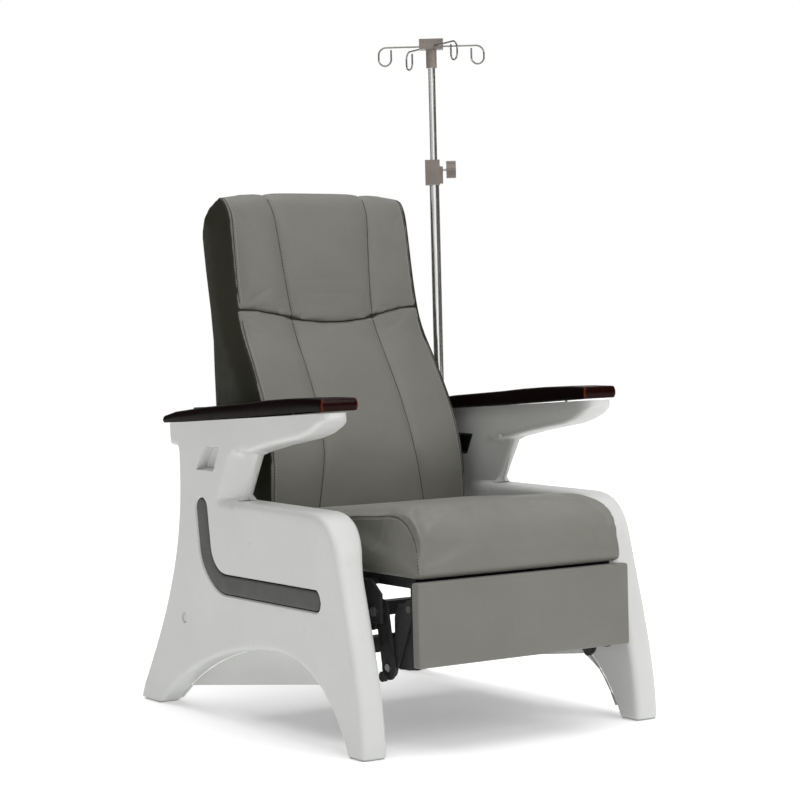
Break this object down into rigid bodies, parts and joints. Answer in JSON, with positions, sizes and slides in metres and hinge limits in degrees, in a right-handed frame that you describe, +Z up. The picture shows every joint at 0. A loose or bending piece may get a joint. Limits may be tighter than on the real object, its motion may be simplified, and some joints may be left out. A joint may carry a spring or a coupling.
{
  "type": "patient recliner chair",
  "caption": "Padded recliner on moulded side panels with linked back and leg rest, board armrests and a telescopic infusion pole with wire hooks.",
  "frame": {"origin": "centre of the whole chair's footprint at floor level, hooks and leg rest included", "axes": "+Z up, +Y towards the rear of the chair, +X to the sitter's left where the infusion pole stands"},
  "size_m": [0.7508, 0.971, 1.442],
  "materials": {
    "white_shell": "moulded polyethylene, pale grey-white, soft satin sheen",
    "foam_core": "rigid foam core inside the side panels",
    "black_steel": "black powder coat",
    "dark_lacquered_board": "near-black mahogany lacquer, glossy front edge",
    "trim_leather": "grey synthetic leather strip set in the groove",
    "dark_plastic": "dark moulded plastic",
    "glide_plastic": "pale nylon",
    "zinc_steel": "zinc plated",
    "plywood_black": "black painted board",
    "grey_leather": "warm grey synthetic leather, fine grain, satin",
    "dark_leather": "dark olive-black synthetic leather sides and rear",
    "chrome_tube": "polished tube and wire",
    "taupe_plastic": "taupe moulded nylon",
    "bumper_rubber": "black rubber"
  },
  "bodies": {
    "frame": {"outer_shell_left": "white_shell", "outer_shell_right": "white_shell", "inner_cover_left": "white_shell", "inner_cover_right": "white_shell", "panel_core_left": "foam_core", "panel_core_right": "foam_core", "armrest_left": "dark_lacquered_board", "armrest_right": "dark_lacquered_board", "swoosh_trim_left": "trim_leather", "swoosh_trim_right": "trim_leather", "slot_insert_left": "dark_plastic", "slot_insert_right": "dark_plastic", "foot_glides": "glide_plastic", "arm_screws": "zinc_steel", "panel_bolts": "black_steel", "side_plugs": "glide_plastic", "trim_screws": "zinc_steel", "mech_plate_left": "black_steel", "mech_plate_right": "black_steel", "front_cross_rail": "black_steel", "rear_cross_rail": "black_steel", "seat_frame": "black_steel", "seat_deck": "plywood_black", "seat_cushion": "grey_leather", "lift_pivot_pins": "zinc_steel", "back_pivot_pins": "zinc_steel", "pole_socket_left": "dark_plastic", "pole_socket_right": "dark_plastic", "pole_lower_tube": "chrome_tube", "pole_clamp": "taupe_plastic"},
    "backrest": {"back_irons": "black_steel", "back_bars": "black_steel", "back_side_left": "dark_leather", "back_side_right": "dark_leather", "back_cover": "dark_leather", "back_cushion": "grey_leather", "head_cushion": "grey_leather", "lever_pins": "zinc_steel"},
    "drive_link": {"drive_links": "black_steel"},
    "lift_arm": {"lift_arms": "black_steel", "lift_cross_tube": "black_steel", "fold_pins": "zinc_steel", "crank_pins": "zinc_steel", "arm_bumpers": "bumper_rubber"},
    "carry_arm": {"carry_arms": "black_steel", "pad_pins": "zinc_steel"},
    "legrest": {"legrest_brackets": "black_steel", "legrest_board": "plywood_black", "legrest_pad": "grey_leather"},
    "pole_slider": {"pole_upper_tube": "chrome_tube"},
    "hook_top": {"hook_head": "taupe_plastic", "hook_collar": "taupe_plastic", "hook_left": "chrome_tube", "hook_right": "chrome_tube", "hook_front": "chrome_tube", "hook_rear": "chrome_tube"},
    "clamp_knob": {"clamp_screw": "zinc_steel", "clamp_knob": "taupe_plastic"}
  },
  "joints": [
    {"name": "back_recline", "type": "hinge", "parent": "frame", "child": "backrest", "pos_m": [-0.02539, 0.1005, 0.345], "axis": [-1, 0, 0], "range_deg": [0, 45]},
    {"name": "drive_link_pivot", "type": "hinge", "parent": "backrest", "child": "drive_link", "pos_m": [-0.02539, 0.12423, 0.28772], "axis": [1, 0, 0], "range_deg": [0, 45]},
    {"name": "lift_arm_pivot", "type": "hinge", "parent": "frame", "child": "lift_arm", "pos_m": [-0.02539, -0.3445, 0.262], "axis": [-1, 0, 0], "range_deg": [0, 90]},
    {"name": "carry_arm_pivot", "type": "hinge", "parent": "lift_arm", "child": "carry_arm", "pos_m": [-0.02539, -0.3645, 0.155], "axis": [1, 0, 0], "range_deg": [0, 144]},
    {"name": "legrest_pivot", "type": "hinge", "parent": "carry_arm", "child": "legrest", "pos_m": [-0.02539, -0.4305, 0.272], "axis": [-1, 0, 0], "range_deg": [0, 135]},
    {"name": "pole_height", "type": "slide", "parent": "frame", "child": "pole_slider", "axis": [0, 0, 1], "range_m": [-0.2, 0.3]},
    {"name": "hook_swivel", "type": "hinge", "parent": "pole_slider", "child": "hook_top", "pos_m": [0.27511, 0.2525, 1.4], "axis": [0, 0, 1], "continuous": true},
    {"name": "clamp_knob_turn", "type": "hinge", "parent": "frame", "child": "clamp_knob", "pos_m": [0.3001, 0.2359, 1.15], "axis": [0.8329, -0.5534, 0], "continuous": true}
  ],
  "couplings": [
    {"joint": "drive_link_pivot", "follows": "back_recline", "ratio": 1},
    {"joint": "lift_arm_pivot", "follows": "back_recline", "ratio": 2},
    {"joint": "carry_arm_pivot", "follows": "back_recline", "ratio": 3.2},
    {"joint": "legrest_pivot", "follows": "back_recline", "ratio": 3}
  ]
}
